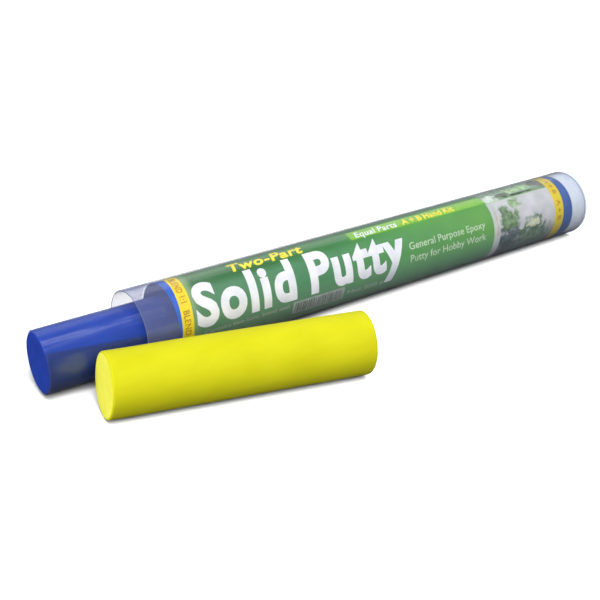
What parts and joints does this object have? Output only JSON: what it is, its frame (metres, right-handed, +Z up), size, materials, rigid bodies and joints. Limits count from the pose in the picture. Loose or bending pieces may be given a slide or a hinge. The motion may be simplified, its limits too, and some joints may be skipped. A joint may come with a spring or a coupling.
{
  "type": "two-part epoxy putty kit in a tube",
  "caption": "Clear round tube with a printed sheet inside and push-in end plugs; a film-wrapped blue putty bar slides out of its mouth and a loose yellow putty bar lies beside it.",
  "frame": {"origin": "middle of the kit's footprint, on the surface it lies on", "axes": "+X along the tube from its open mouth to its plugged end, +Y from the loose yellow bar towards the tube's far side, +Z up"},
  "size_m": [0.2898, 0.1168, 0.032],
  "materials": {
    "clear_plastic": "clear rigid plastic, glossy",
    "label_print": "printed coated paper, green with blue and yellow bands, grey-brown reverse",
    "plug_plastic": "translucent natural polyethylene, bluish white",
    "blue_putty": "epoxy putty, satin",
    "yellow_putty": "epoxy putty, satin",
    "clear_film": "clear thin film, glossy, creased lengthways"
  },
  "bodies": {
    "tube": {"clear_tube": "clear_plastic", "printed_label": "label_print"},
    "rear_plug": {"rear_plug": "plug_plastic"},
    "front_plug": {"front_plug": "plug_plastic"},
    "blue_bar": {"blue_putty_bar": "blue_putty", "blue_film_wrap": "clear_film"},
    "yellow_bar": {"yellow_putty_bar": "yellow_putty"}
  },
  "joints": [
    {"name": "slide_blue_bar", "type": "slide", "parent": "tube", "child": "blue_bar", "axis": [-1, 0, 0], "range_m": [-0.175, 0.07]},
    {"name": "pull_rear_plug", "type": "slide", "parent": "tube", "child": "rear_plug", "axis": [1, 0, 0], "range_m": [0, 0.03]},
    {"name": "lift_front_plug", "type": "slide", "parent": "tube", "child": "front_plug", "axis": [0, 0, 1], "range_m": [0, 0.06]},
    {"name": "lift_yellow_bar", "type": "slide", "parent": "tube", "child": "yellow_bar", "axis": [0, 0, 1], "range_m": [0, 0.06]}
  ]
}
